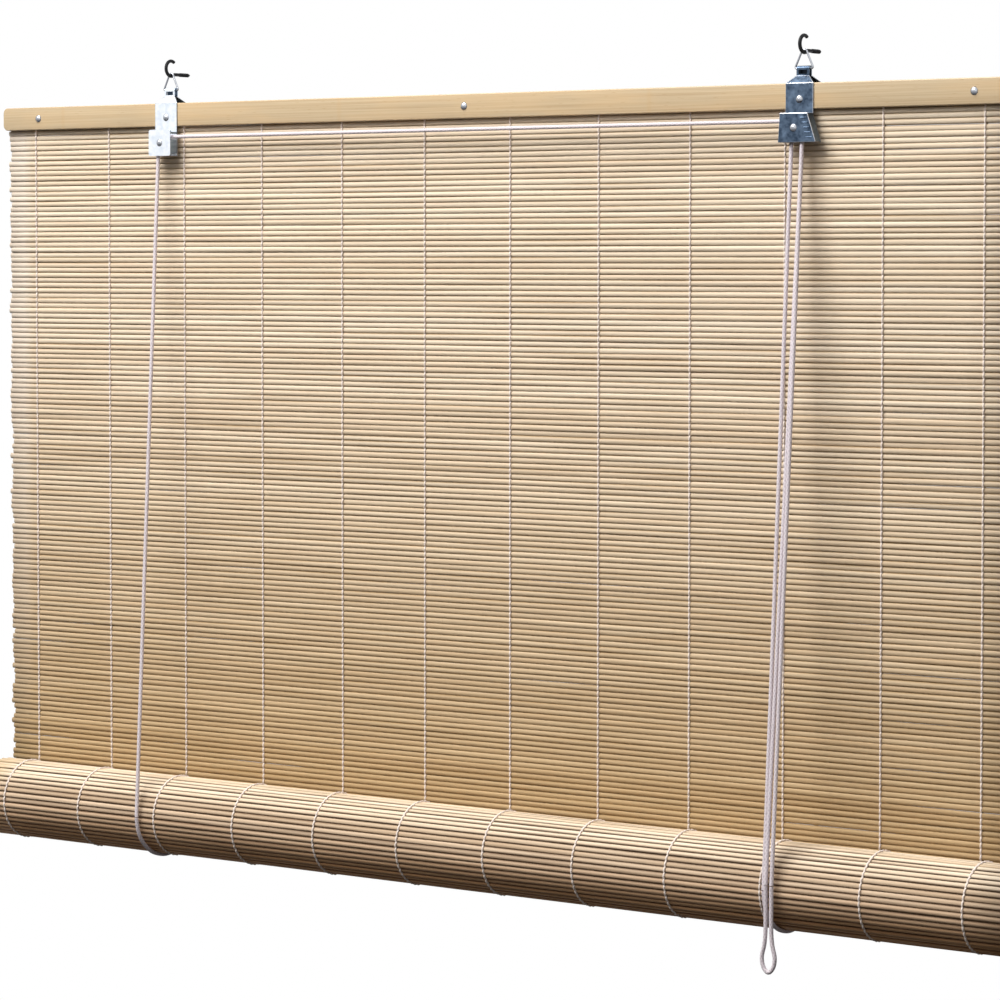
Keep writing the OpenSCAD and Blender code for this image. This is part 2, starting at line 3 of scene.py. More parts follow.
import bmesh
import bpy
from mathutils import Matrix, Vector


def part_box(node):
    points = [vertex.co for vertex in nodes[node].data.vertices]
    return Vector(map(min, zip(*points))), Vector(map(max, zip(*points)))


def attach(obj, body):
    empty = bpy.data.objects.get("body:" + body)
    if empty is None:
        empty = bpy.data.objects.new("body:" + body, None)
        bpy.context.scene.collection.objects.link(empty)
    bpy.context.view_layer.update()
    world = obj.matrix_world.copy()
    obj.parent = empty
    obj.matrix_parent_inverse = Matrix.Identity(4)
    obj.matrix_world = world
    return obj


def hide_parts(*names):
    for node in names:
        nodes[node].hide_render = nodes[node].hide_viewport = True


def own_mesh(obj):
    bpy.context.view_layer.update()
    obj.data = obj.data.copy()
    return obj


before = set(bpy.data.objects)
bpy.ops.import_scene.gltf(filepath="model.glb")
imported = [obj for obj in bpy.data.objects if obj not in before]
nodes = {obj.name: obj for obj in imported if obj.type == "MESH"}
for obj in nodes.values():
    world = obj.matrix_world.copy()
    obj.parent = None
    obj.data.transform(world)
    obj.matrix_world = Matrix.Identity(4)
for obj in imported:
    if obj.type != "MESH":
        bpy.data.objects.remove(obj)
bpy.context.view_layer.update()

# Camera: a long lens from the right and the room side, fitted to the nails, the threads and the roll.
# The small shift keeps upright lines as parallel as the photo has them.
camera_data = bpy.data.cameras.new("camera")
camera_data.sensor_width = 36.0
camera_data.lens = 134.4
camera_data.shift_y = -0.0691
camera = bpy.data.objects.new("camera", camera_data)
bpy.context.scene.collection.objects.link(camera)
camera.location = (1.7706, -2.4142, -0.1552)
yaw = math.radians(35.93)
pitch = math.radians(-2.646)
look = Vector((-math.sin(yaw) * math.cos(pitch), math.cos(yaw) * math.cos(pitch), math.sin(pitch)))
camera.rotation_euler = look.to_track_quat("-Z", "Y").to_euler()
bpy.context.scene.camera = camera


# Cords: braided white cotton, 3.2 mm thick, each a tube swept along a smooth line. A lift cord runs from a
# knot behind the rail down the back, under the roll and up the front to its pulley.
# The left one crosses to the lock, and both hang down from there as the pull loop.
def srgb(code):
    parts = [int(code[i:i + 2], 16) / 255 for i in (1, 3, 5)]
    return [p / 12.92 if p <= 0.04045 else ((p + 0.055) / 1.055) ** 2.4 for p in parts] + [1.0]


def add(tree, kind, props=None, inputs=None):
    made = tree.nodes.new(kind)
    for key, value in (props or {}).items():
        setattr(made, key, value)
    for key, value in (inputs or {}).items():
        if isinstance(value, bpy.types.NodeSocket):
            tree.links.new(value, made.inputs[key])
        else:
            made.inputs[key].default_value = value
    return made


def maths(tree, operation, *values):
    return add(tree, "ShaderNodeMath", {"operation": operation}, dict(enumerate(values))).outputs[0]


def ramp(tree, value, low, high, out_low, out_high):
    inputs = {0: value, 1: low, 2: high, 3: out_low, 4: out_high}
    return add(tree, "ShaderNodeMapRange", None, inputs).outputs[0]


def blend(tree, factor, one, two, kind="MIX"):
    # Each colour is a hex code or the colour output of another node.
    one, two = (srgb(c) if isinstance(c, str) else c for c in (one, two))
    props = {"data_type": "RGBA", "blend_type": kind}
    return add(tree, "ShaderNodeMix", props, {"Factor": factor, 6: one, 7: two}).outputs[2]


def noise(tree, place, scale=1.0, detail=2.0, roughness=0.5):
    inputs = {"Vector": place, "Scale": scale, "Detail": detail, "Roughness": roughness}
    return add(tree, "ShaderNodeTexNoise", None, inputs).outputs["Fac"]


def parts_of(tree, vector):
    return add(tree, "ShaderNodeSeparateXYZ", None, {0: vector}).outputs


def joined(tree, x, y=0.0, z=0.0):
    return add(tree, "ShaderNodeCombineXYZ", None, {0: x, 1: y, 2: z}).outputs[0]


def material(name, roughness):
    made = bpy.data.materials.new(name)
    made.use_nodes = True
    shader = made.node_tree.nodes["Principled BSDF"]
    shader.inputs["Roughness"].default_value = roughness
    return made, made.node_tree, shader


def dress(tree, shader, colour, height=None, strength=0.0, depth=0.0002):
    tree.links.new(colour, shader.inputs["Base Color"])
    if height is not None:
        bump = add(tree, "ShaderNodeBump", None, {"Strength": strength, "Distance": depth, "Height": height})
        tree.links.new(bump.outputs[0], shader.inputs["Normal"])


def shown(name, mesh, finish, body, *stands_for):
    piece = bpy.data.objects.new(name, mesh)
    bpy.context.scene.collection.objects.link(piece)
    if not mesh.materials:
        mesh.materials.append(finish)
    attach(piece, body)
    if stands_for:
        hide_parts(*stands_for)
    return piece


def smooth_line(points, step):
    points = [Vector(p) for p in points]
    line = []
    for i in range(len(points) - 1):
        before = points[max(i - 1, 0)]
        start, end = points[i], points[i + 1]
        after = points[min(i + 2, len(points) - 1)]
        span = (end - start).length
        lead = (end - before).normalized() * span
        tail = (after - start).normalized() * span
        count = max(3, round(span / step))
        for k in range(count):
            t = k / count
            line.append(start * (2 * t**3 - 3 * t**2 + 1) + lead * (t**3 - 2 * t**2 + t)
                        + end * (3 * t**2 - 2 * t**3) + tail * (t**3 - t**2))
    return line + [points[-1]]


def tube(name, line, radius, sides=12, closed=False):
    # UV: u goes once round the tube, v is the way along it in metres.
    seam_way = 0.001
    mesh = bmesh.new()
    uv = mesh.loops.layers.uv.new("UVMap")
    rings, travel, across = [], [0.0], None
    turns = [2 * math.pi * k / sides for k in range(sides)]
    for i, point in enumerate(line):
        ahead = line[(i + 1) % len(line)] if closed else line[min(i + 1, len(line) - 1)]
        behind = line[i - 1] if closed or i else line[0]
        along = (ahead - behind).normalized()
        if across is None:
            across = along.orthogonal()
        across = (across - along * across.dot(along)).normalized()
        other = along.cross(across)
        width = radius(i / (len(line) - 1)) if callable(radius) else radius
        spokes = [across * math.cos(a) + other * math.sin(a) for a in turns]
        rings.append([mesh.verts.new(point + spoke * width) for spoke in spokes])
        if i:
            travel.append(travel[-1] + (point - line[i - 1]).length)
    pairs = len(rings) if closed else len(rings) - 1
    for i in range(pairs):
        low, high = rings[i], rings[(i + 1) % len(rings)]
        v_low = travel[i]
        v_high = travel[i + 1] if i + 1 < len(travel) else v_low + seam_way
        for k in range(sides):
            face = mesh.faces.new((low[k], low[(k + 1) % sides], high[(k + 1) % sides], high[k]))
            face.smooth = True
            for loop, u, v in zip(face.loops, (k, k + 1, k + 1, k), (v_low, v_low, v_high, v_high)):
                loop[uv].uv = (u / sides, v)
    if not closed:
        mesh.faces.new(list(reversed(rings[0])))
        mesh.faces.new(rings[-1])
    made = bpy.data.meshes.new(name)
    mesh.to_mesh(made)
    mesh.free()
    made.set_sharp_from_angle(angle=math.radians(60))
    return made


braid_strands = 4
braid_lay = 0.0042
cotton, tree, shader = material("braided_cotton", 0.85)
way = parts_of(tree, add(tree, "ShaderNodeUVMap", {"uv_map": "UVMap"}).outputs[0])
round_it = maths(tree, "MULTIPLY", way["X"], braid_strands * 2 * math.pi)
along_it = maths(tree, "MULTIPLY", way["Y"], 2 * math.pi / braid_lay)
right_lay = maths(tree, "SINE", maths(tree, "ADD", round_it, along_it))
left_lay = maths(tree, "SINE", maths(tree, "SUBTRACT", round_it, along_it))
braid = ramp(tree, maths(tree, "MAXIMUM", right_lay, left_lay), -0.6, 1.0, 0.0, 1.0)
dress(tree, shader, blend(tree, braid, "#C3B9BF", "#DED4D9"), braid, 0.28, 0.0003)

cord_r = 0.0016
cord_step = 0.004
roll_y, roll_z = -0.050664, -0.6209
pulley_x, axle_z, turn_r = 0.312, -0.0579, 0.0049
# Depths of the cords in the guide box and in the lock, which has two lanes.
box_lane_y, lock_back_y, lock_front_y = -0.02475, -0.0232, -0.0263
run_top_z = -0.0580
back_y, back_top_z = -0.0042, -0.0319
front_foot_y, back_foot_y, foot_z = -0.08716, -0.01066, -0.6203
left_run_x, right_run_x = -pulley_x - turn_r, pulley_x - turn_r
left_shift, right_shift = 0.027, 0.017
# The cord presses into the reeds under the roll, by this share of the sling's depth at its foot.
sling_press = 0.05
sling_depth = 37
# The sling's points are millimetres from the middle of the roll, seen from its end.
# The loop's points are millimetres from its own middle line and the roll's height, seen from the front.
sling = [(-36.5, 0), (-35.5, -9.5), (-32, -18.5), (-26, -26), (-18.5, -32), (-9.5, -35.5), (0, -37),
         (10, -36), (19, -32.5), (27.5, -27), (34, -19), (38.5, -10), (40, 0)]
loop_x, loop_y, loop_top_z, strand_apart = 0.329, -0.08816, -0.6163, 0.0025
loop = [(-2.5, 4), (-2.5, -30), (-3.5, -40), (-5.5, -48), (-5, -54), (-3, -58), (0, -60), (3, -58),
        (5, -54), (5.5, -48), (3.5, -40), (2.5, -30), (2.5, 4)]
# The strands leave the lock through its foot.
lock_foot_z, strand_a_x, strand_b_x = -0.0689, 0.3161, 0.3177


def over_pulley(x, y, first, last):
    turns = [math.radians(first + (last - first) * i / 10) for i in range(11)]
    return [(x + turn_r * math.cos(a), y, axle_z + turn_r * math.sin(a)) for a in turns]


def add_cord(name, points, body, top_z=None):
    line = smooth_line(points, cord_step)
    piece = shown(name + "_braid", tube(name, line, cord_r), cotton, body, name)
    if top_z is not None:
        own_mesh(piece)


for side, x, y, shift in (("left", left_run_x, box_lane_y, left_shift),
                          ("right", right_run_x, lock_back_y, right_shift)):
    foot_x = x + shift
    front_run = [(x, y, run_top_z), (foot_x, front_foot_y, foot_z)]
    add_cord(side + "_front_cord", front_run, "blind", axle_z)
    back_run = [(x, back_y, back_top_z), (foot_x, back_foot_y, foot_z)]
    add_cord(side + "_back_cord", back_run, "blind", back_top_z)
    pressed = [(dy, dz, 0.001 * (1 + sling_press * dz / sling_depth)) for dy, dz in sling]
    under_roll = [(foot_x, roll_y + dy * mm, roll_z + dz * mm) for dy, dz, mm in pressed]
    add_cord(side + "_sling_cord", under_roll, "slings")
crossing = over_pulley(-pulley_x, box_lane_y, 180, 90) + over_pulley(pulley_x, lock_front_y, 90, 0)
add_cord("cross_cord", crossing, "blind")
strand_a = over_pulley(pulley_x, lock_back_y, 180, 0) + [
    (strand_a_x, lock_back_y, lock_foot_z), (loop_x - strand_apart, loop_y, loop_top_z)]
add_cord("pull_strand_a", strand_a, "blind", axle_z)
strand_b = [(pulley_x + turn_r, lock_front_y, run_top_z), (strand_b_x, lock_front_y, lock_foot_z),
            (loop_x + strand_apart, loop_y, loop_top_z)]
add_cord("pull_strand_b", strand_b, "blind", axle_z)
pull_loop = [(loop_x + dx / 1000, loop_y, roll_z + dz / 1000) for dx, dz in loop]
add_cord("pull_loop", pull_loop, "slings")


# Head rail: two planed bamboo laths, 19.5 mm high, nailed together with the mat's top edge between them.
# Each is swept along its length with broken edges and rounded corners. The joints are faint bands of colour.
# The two bottom laths, in the core of the roll, are of the same bamboo and keep the CAD form.
def coordinate(tree, kind):
    return add(tree, "ShaderNodeTexCoord").outputs[kind]


def stretched(tree, place, scale):
    return add(tree, "ShaderNodeMapping", None, {"Vector": place, "Scale": scale}).outputs[0]


first_joint_x, joint_gap = -0.430, 0.3034
bamboo, tree, shader = material("planed_bamboo", 0.42)
place = coordinate(tree, "Object")
fibre = noise(tree, stretched(tree, place, (6, 260, 900)), 1.0, 6, 0.6)
cloud = noise(tree, stretched(tree, place, (9, 40, 60)), 1.0, 3)
pores = stretched(tree, place, (55, 300, 700))
speck = add(tree, "ShaderNodeTexVoronoi", None, {"Vector": pores, "Scale": 1.0}).outputs["Distance"]
from_joint = maths(tree, "SUBTRACT", parts_of(tree, place)["X"], first_joint_x)
to_joint = maths(tree, "PINGPONG", from_joint, joint_gap / 2)
colour = blend(tree, ramp(tree, fibre, 0.3, 0.7, 0.0, 1.0), "#B39A77", "#C9B595")
colour = blend(tree, ramp(tree, cloud, 0.42, 0.75, 0.0, 0.6), colour, "#D6B486")
colour = blend(tree, ramp(tree, speck, 0.06, 0.16, 0.45, 0.0), colour, "#A27C4C")
colour = blend(tree, ramp(tree, to_joint, 0.0006, 0.003, 0.16, 0.0), colour, "#C39A66")
dress(tree, shader, colour, fibre, 0.25)


def lath_mesh(name, low, high):
    corner, arris = 0.004, 0.0009
    end_steps, length_steps, arris_steps = 8, 200, 4
    half_x, half_y, half_z = ((b - a) / 2 for a, b in zip(low, high))
    middle = (low + high) / 2
    ends = [corner * (1 - math.cos(math.pi / 2 * i / end_steps)) for i in range(end_steps + 1)]
    inner_length = 2 * half_x - 2 * corner
    inner = [-half_x + corner + inner_length * i / length_steps for i in range(1, length_steps)]
    stations = [-half_x + e for e in ends] + inner + [half_x - e for e in reversed(ends)]
    mesh = bmesh.new()
    rings = []
    for x in stations:
        into = min(half_x - abs(x), corner)
        tall = half_z - (corner - math.sqrt(max(0.0, corner**2 - (corner - into) ** 2)))
        ring = []
        for sy, sz, first in ((1, 1, 0), (-1, 1, 90), (-1, -1, 180), (1, -1, 270)):
            for k in range(arris_steps + 1):
                a = math.radians(first + 90 / arris_steps * k)
                y = sy * (half_y - arris) + arris * math.cos(a)
                z = sz * (tall - arris) + arris * math.sin(a)
                ring.append(mesh.verts.new((middle.x + x, middle.y + y, middle.z + z)))
        rings.append(ring)
    for one, two in zip(rings, rings[1:]):
        for k in range(len(one)):
            after = (k + 1) % len(one)
            mesh.faces.new((one[k], one[after], two[after], two[k])).smooth = True
    mesh.faces.new(rings[0])
    mesh.faces.new(list(reversed(rings[-1])))
    bmesh.ops.recalc_face_normals(mesh, faces=mesh.faces)
    made = bpy.data.meshes.new(name)
    mesh.to_mesh(made)
    mesh.free()
    return made


def finished(name, finish):
    # Gives a CAD node its finish and keeps its form.
    nodes[name].data.materials.clear()
    nodes[name].data.materials.append(finish)


for name in ("front_lath", "back_lath"):
    piece = shown(name + "_planed", lath_mesh(name, *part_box(name)), bamboo, "blind", name)
for name in ("front_bottom_lath", "back_bottom_lath"):
    finished(name, bamboo)


# Nails and rivets: bright steel with domed heads, smooth copies of the CAD forms. The nails hold the laths
# together, the strap rivets hold the hangers and the axle rivets carry the pulleys.
bright, tree, shader = material("bright_steel", 0.22)
shader.inputs["Metallic"].default_value = 1.0
wear = noise(tree, coordinate(tree, "Object"), 900.0, 3)
facing = parts_of(tree, coordinate(tree, "Normal"))
colour = blend(tree, wear, "#A3A6AE", "#DADDE3")
# Faces turned downwards are painted dark: painted shade and a painted reflection of the dark room below.
dress(tree, shader, blend(tree, ramp(tree, facing["Z"], -0.5, 0.2, 0.85, 0.0), colour, "#34373E"))


def softened(name, width):
    # A merged copy of a CAD node's mesh. A width breaks its long sharp edges, as a second material.
    merge_within, flat_angle = 0.000005, math.radians(1)
    long_edge, fold_angle = 0.008, math.radians(35)
    sharp_angle = math.radians(20 if width else 40)
    mesh = bmesh.new()
    mesh.from_mesh(nodes[name].data)
    bmesh.ops.remove_doubles(mesh, verts=mesh.verts, dist=merge_within)
    if width:
        bmesh.ops.dissolve_limit(mesh, angle_limit=flat_angle, verts=mesh.verts, edges=mesh.edges)
        folds = [e for e in mesh.edges if len(e.link_faces) == 2 and e.calc_length() > long_edge
                 and e.calc_face_angle() > fold_angle]
        bmesh.ops.bevel(mesh, geom=folds, offset=width, segments=2, profile=0.5, affect="EDGES",
                        clamp_overlap=False, material=1)
    made = bpy.data.meshes.new(name + "_soft")
    mesh.to_mesh(made)
    mesh.free()
    made.shade_smooth()
    made.set_sharp_from_angle(angle=sharp_angle)
    return made


for name, body in (("rail_nails", "blind"), ("bottom_nails", "roll"),
                   ("left_strap_rivet", "blind"), ("right_strap_rivet", "blind"),
                   ("left_axle_rivet", "blind"), ("right_axle_rivet", "blind")):
    piece = shown(name + "_steel", softened(name, 0.0), bright, body, name)


# Reed mat: split bamboo reeds, 4.4 mm apart, each a little bowed, twisted and uneven at its ends.
# The laths hold its top edge. Geometry Nodes sets one reed at each step of a path, which is a straight drop
# for the mat and a spiral for the roll.
def reed_finish(name, shade, light, groove_shade, spread, low_shade, low_shade_from, low_shade_to, tip_light):
    # Fine streaks along each reed and a tone of its own. Painted shade darkens each reed's flanks, over an
    # uneven width, for the grooves between the reeds. The reeds are painted darker towards the bottom, as
    # painted shade, and the left tips of the upper reeds are painted pale, as painted light.
    made, tree, shader = material(name, 0.6)
    shader.inputs["Specular IOR Level"].default_value = 0.12
    own, flank, way = (add(tree, "ShaderNodeAttribute", {"attribute_name": label}).outputs["Fac"]
                       for label in ("reed_tone", "reed_flank", "reed_way"))
    spot = parts_of(tree, coordinate(tree, "Object"))
    apart = maths(tree, "MULTIPLY", own, 37.0)
    streak_at = joined(tree, maths(tree, "MULTIPLY", spot["X"], 9.0), apart, flank)
    streak = noise(tree, streak_at, 1.0, 4, 0.6)
    tone = maths(tree, "MULTIPLY_ADD", own, 0.38, maths(tree, "MULTIPLY_ADD", streak, 0.9, -0.1))
    sway_at = joined(tree, maths(tree, "MULTIPLY", spot["X"], 6.0), apart)
    groove_shade_from = ramp(tree, noise(tree, sway_at, 1.0, 1), 0.3, 0.75, 0.98 - spread, 0.34 - spread)
    # Painted shade: the colour is multiplied darker towards the bottom.
    low = ramp(tree, spot["Z"], low_shade_from, low_shade_to, 0.0, 1.0)
    # Painted light: the left tips of the upper reeds turn pale.
    left_end = ramp(tree, way, -0.473, -0.484, 0.0, 0.62)
    painted_tip_light = maths(tree, "MULTIPLY", left_end, maths(tree, "SUBTRACT", 1.0, low))
    colour = blend(tree, tone, shade, light)
    colour = blend(tree, low, colour, low_shade, "MULTIPLY")
    # Painted shade on the flanks, where the grooves between the reeds lie.
    colour = blend(tree, ramp(tree, flank, groove_shade_from, 1.0, 0.0, 0.9), colour, groove_shade)
    dress(tree, shader, blend(tree, painted_tip_light, colour, tip_light), streak, 0.2)
    return made


mat_reed = reed_finish("split_bamboo_reed", shade="#C9B296", light="#E9DAC5", groove_shade="#8A6E46", spread=0.06,
                       low_shade="#D7C7AA", low_shade_from=-0.22, low_shade_to=-0.58, tip_light="#E9DCCF")


def new_tree(name, inputs):
    made = bpy.data.node_groups.new(name, "GeometryNodeTree")
    made.interface.new_socket(name="Geometry", in_out="INPUT", socket_type="NodeSocketGeometry")
    for label, kind in inputs.items():
        made.interface.new_socket(name=label, in_out="INPUT", socket_type=kind)
    made.interface.new_socket(name="Geometry", in_out="OUTPUT", socket_type="NodeSocketGeometry")
    return made, add(made, "NodeGroupInput").outputs


def path_points(tree, given):
    # One point for each reed, evenly spaced along the path and turned to follow it.
    stepped = add(tree, "GeometryNodeResampleCurve", {"mode": "COUNT"}, {
        "Curve": given["Geometry"], "Count": given["Reeds"]})
    spots = add(tree, "GeometryNodeCurveToPoints", {"mode": "EVALUATED"}, {"Curve": stepped.outputs[0]})
    turned = add(tree, "FunctionNodeAlignRotationToVector", {"axis": "Z", "pivot_axis": "X"}, {
        "Vector": spots.outputs["Tangent"]})
    return {"Points": spots.outputs["Points"], "Rotation": turned.outputs[0]}


def finish_tree(tree, shape, given):
    soft = add(tree, "GeometryNodeSetShadeSmooth", None, {"Geometry": shape})
    done = add(tree, "GeometryNodeSetMaterial", None, {
        "Geometry": soft.outputs[0], "Material": given["Finish"]})
    add(tree, "NodeGroupOutput", None, {0: done.outputs[0]})


def grown(name, line, group, values, finish, body, *stands_for):
    # Runs a node group on a path and keeps the result as a plain mesh.
    path = bpy.data.curves.new(name + "_path", "CURVE")
    path.dimensions = "3D"
    spline = path.splines.new("POLY")
    spline.points.add(len(line) - 1)
    for point, place in zip(spline.points, line):
        point.co = (*place, 1.0)
    holder = bpy.data.objects.new(name + "_path", path)
    bpy.context.scene.collection.objects.link(holder)
    modifier = holder.modifiers.new("grow", "NODES")
    modifier.node_group = group
    for item in group.interface.items_tree:
        if item.in_out == "INPUT" and item.name in values:
            modifier[item.identifier] = values[item.name]
    holder.update_tag()
    bpy.context.view_layer.update()
    ready = holder.evaluated_get(bpy.context.evaluated_depsgraph_get())
    mesh = bpy.data.meshes.new_from_object(ready)
    bpy.data.objects.remove(holder)
    return shown(name, mesh, finish, body, *stands_for)


number, whole, surface = "NodeSocketFloat", "NodeSocketInt", "NodeSocketMaterial"
reeds, reed_in = new_tree("reeds_along_path", {
    "Reeds": whole, "Length": number, "Width": number, "Thickness": number, "Seed": whole, "Finish": surface})


def marked(shape, domain, label, value):
    return add(reeds, "GeometryNodeStoreNamedAttribute", {"data_type": "FLOAT", "domain": domain}, {
        "Geometry": shape, "Name": label, "Value": value}).outputs[0]


def scatter(seed, low, high):
    return add(reeds, "FunctionNodeRandomValue", {"data_type": "FLOAT_VECTOR"}, {
        0: low, 1: high, "Seed": seed}).outputs[0]


rod = add(reeds, "GeometryNodeMeshCylinder", None, {
    "Vertices": 12, "Side Segments": 22, "Radius": 0.5, "Depth": 1.0})
rod_at = parts_of(reeds, add(reeds, "GeometryNodeInputPosition").outputs[0])
rod_flank = maths(reeds, "MULTIPLY", maths(reeds, "ABSOLUTE", rod_at["X"]), 2.0)
flanked = marked(rod.outputs["Mesh"], "POINT", "reed_flank", rod_flank)
measured = marked(flanked, "POINT", "reed_way", rod_at["Z"])
stick = add(reeds, "GeometryNodeTransform", None, {
    "Geometry": measured, "Rotation": (0.0, math.pi / 2, 0.0),
    "Scale": joined(reeds, reed_in["Width"], reed_in["Thickness"], reed_in["Length"])})
vary = scatter(reed_in["Seed"], (0.998, 0.85, 0.98), (1.002, 1.1, 1.06))
laid = add(reeds, "GeometryNodeInstanceOnPoints", None, {
    **path_points(reeds, reed_in), "Instance": stick.outputs[0], "Scale": vary})
nudge_seed, twist_seed, tone_seed = (maths(reeds, "ADD", reed_in["Seed"], k) for k in (1.0, 2.0, 3.0))
nudge = scatter(nudge_seed, (-0.0013, -0.00015, 0.0), (0.0013, 0.00015, 0.0))
moved = add(reeds, "GeometryNodeTranslateInstances", None, {
    "Instances": laid.outputs[0], "Translation": nudge, "Local Space": True})
twist = scatter(twist_seed, (-0.12, -0.0004, -0.0004), (0.12, 0.0004, 0.0004))
swung = add(reeds, "GeometryNodeRotateInstances", None, {
    "Instances": moved.outputs[0], "Rotation": twist, "Local Space": True})
tone = add(reeds, "FunctionNodeRandomValue", {"data_type": "FLOAT"}, {2: 0.0, 3: 1.0, "Seed": tone_seed})
toned = marked(swung.outputs[0], "INSTANCE", "reed_tone", tone.outputs[1])
real = add(reeds, "GeometryNodeRealizeInstances", None, {"Geometry": toned})
here = parts_of(reeds, add(reeds, "GeometryNodeInputPosition").outputs[0])
own_tone = add(reeds, "GeometryNodeInputNamedAttribute", {"data_type": "FLOAT"}, {"Name": "reed_tone"})
bow_at = joined(reeds, maths(reeds, "MULTIPLY", here["X"], 5.0),
                maths(reeds, "MULTIPLY", own_tone.outputs["Attribute"], 61.0))
bow = add(reeds, "ShaderNodeTexNoise", None, {"Vector": bow_at, "Scale": 1.0, "Detail": 2})
centred = add(reeds, "ShaderNodeVectorMath", {"operation": "SUBTRACT"}, {
    0: bow.outputs["Color"], 1: (0.5, 0.5, 0.5)})
offset = add(reeds, "ShaderNodeVectorMath", {"operation": "MULTIPLY"}, {
    0: centred.outputs[0], 1: (0.0, 0.0012, 0.0010)})
bowed = add(reeds, "GeometryNodeSetPosition", None, {
    "Geometry": real.outputs[0], "Offset": offset.outputs[0]})
finish_tree(reeds, bowed.outputs[0], reed_in)

reed_pitch, reed_count, reed_length = 0.0044, 135, 0.993
mat_y, mat_top_z, rail_foot_z = -0.014, -0.0269, -0.0439
mat_line = [(0, mat_y, mat_top_z - reed_pitch / 2), (0, mat_y, mat_top_z - reed_pitch * (reed_count - 0.5))]
mat_sizes = {"Reeds": reed_count, "Seed": 11, "Length": reed_length, "Width": 0.0046, "Thickness": 0.0031,
             "Finish": mat_reed}
mat = grown("reed_mat", mat_line, reeds, mat_sizes, mat_reed, "blind", "hanging_mat")
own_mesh(mat)


# Warp threads: white cotton, 12 rows, 84.7 mm apart, that bind the reeds of the mat and the roll.
# Geometry Nodes sets a row of slanted stitches, front and back, on each reed of the same path.
thread, tree, shader = material("cotton_thread", 0.9)
fuzz = noise(tree, coordinate(tree, "Object"), 2500.0, 2)
dress(tree, shader, blend(tree, fuzz, "#E0D0C6", "#F0E4DB"), fuzz, 0.5)

stitches, stitch_in = new_tree("stitches_along_path", {
    "Reeds": whole, "Rows": whole, "Row gap": number, "Step": number, "Rise": number, "Thread": number,
    "Finish": surface})
slant, dip = 0.00012, -0.0012
start = joined(stitches, slant, dip, maths(stitches, "MULTIPLY", stitch_in["Step"], 0.5))
crown = joined(stitches, 0.0, maths(stitches, "MULTIPLY", stitch_in["Rise"], -1.0))
end = joined(stitches, -slant, dip, maths(stitches, "MULTIPLY", stitch_in["Step"], -0.5))
arch = add(stitches, "GeometryNodeCurveQuadraticBezier", None, {
    "Resolution": 5, "Start": start, "Middle": crown, "End": end})
ring = add(stitches, "GeometryNodeCurvePrimitiveCircle", {"mode": "RADIUS"}, {
    "Resolution": 5, "Radius": stitch_in["Thread"]})
stitch = add(stitches, "GeometryNodeCurveToMesh", None, {
    "Curve": arch.outputs[0], "Profile Curve": ring.outputs[0]})
behind = add(stitches, "GeometryNodeTransform", None, {
    "Geometry": stitch.outputs[0], "Rotation": (0.0, 0.0, math.pi)})
both = add(stitches, "GeometryNodeJoinGeometry", None, {"Geometry": stitch.outputs[0]})
stitches.links.new(behind.outputs[0], both.inputs[0])
row_gaps = maths(stitches, "SUBTRACT", stitch_in["Rows"], 1.0)
row_span = maths(stitches, "MULTIPLY", row_gaps, stitch_in["Row gap"])
first_row = joined(stitches, maths(stitches, "MULTIPLY", row_span, -0.5))
next_row = joined(stitches, stitch_in["Row gap"])
row = add(stitches, "GeometryNodeMeshLine", {"mode": "OFFSET"}, {
    "Count": stitch_in["Rows"], "Start Location": first_row, "Offset": next_row})
sewn = add(stitches, "GeometryNodeInstanceOnPoints", None, {
    "Points": row.outputs[0], "Instance": both.outputs[0]})
laid = add(stitches, "GeometryNodeInstanceOnPoints", None, {
    **path_points(stitches, stitch_in), "Instance": sewn.outputs[0]})
real = add(stitches, "GeometryNodeRealizeInstances", None, {"Geometry": laid.outputs[0]})
finish_tree(stitches, real.outputs[0], stitch_in)

stitch_sizes = {"Rows": 12, "Row gap": 0.0847, "Step": reed_pitch, "Rise": 0.0026, "Thread": 0.0008,
                "Finish": thread}
mat_stitches = {"Reeds": reed_count, **stitch_sizes}
threads = grown("woven_threads", mat_line, stitches, mat_stitches, thread, "blind", "warp_threads")
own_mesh(threads)


# Roll: the mat's lower part, wound round the bottom laths in one spiral of 3.2 mm pitch, lies in the slings.
# The same two node groups run on the spiral: the reeds to the core, the stitches on its outer turns only.
turn_pitch, core_r, core_clear, spiral_len = 0.0032, 0.0097339811, 0.001, 0.956
spiral_in = core_r + core_clear
spiral_k = turn_pitch / (2 * math.pi)
wind_on = math.radians(5)
roll_x = 0.022
roll_reeds, roll_points = 217, 2600
outer_reeds, outer_points = 96, 1200
roll_reed = reed_finish("rolled_bamboo_reed", shade="#C1A686", light="#EFE0CA", groove_shade="#4A2C14", spread=0.28,
                        low_shade="#BE966C", low_shade_from=-0.595, low_shade_to=-0.652, tip_light="#D8BF9A")


def spiral_turn(s):
    return (math.sqrt(spiral_in**2 + 2 * spiral_k * s) - spiral_in) / spiral_k


def spiral_line(reed_total, count):
    # The outer end of the spiral, as far in as this many reeds reach.
    first = spiral_len - reed_pitch * (reed_total - 1)
    line = []
    for i in range(count):
        a = spiral_turn(first + (spiral_len - first) * i / (count - 1))
        r = spiral_in + spiral_k * a
        phi = a - spiral_turn(spiral_len) + wind_on
        line.append((roll_x, roll_y + r * math.cos(phi), roll_z + r * math.sin(phi)))
    return line


roll_sizes = {"Reeds": roll_reeds, "Seed": 29, "Length": reed_length, "Width": 0.0042, "Thickness": 0.0030,
              "Finish": roll_reed}
whole_spiral = spiral_line(roll_reeds, roll_points)
roll = grown("reed_roll", whole_spiral, reeds, roll_sizes, roll_reed, "roll", "roll")
outer_spiral = spiral_line(outer_reeds, outer_points)
outer_stitches = {"Reeds": outer_reeds, **stitch_sizes}
roll_threads = grown("roll_stitches", outer_spiral, stitches, outer_stitches, thread, "roll", "roll_threads")
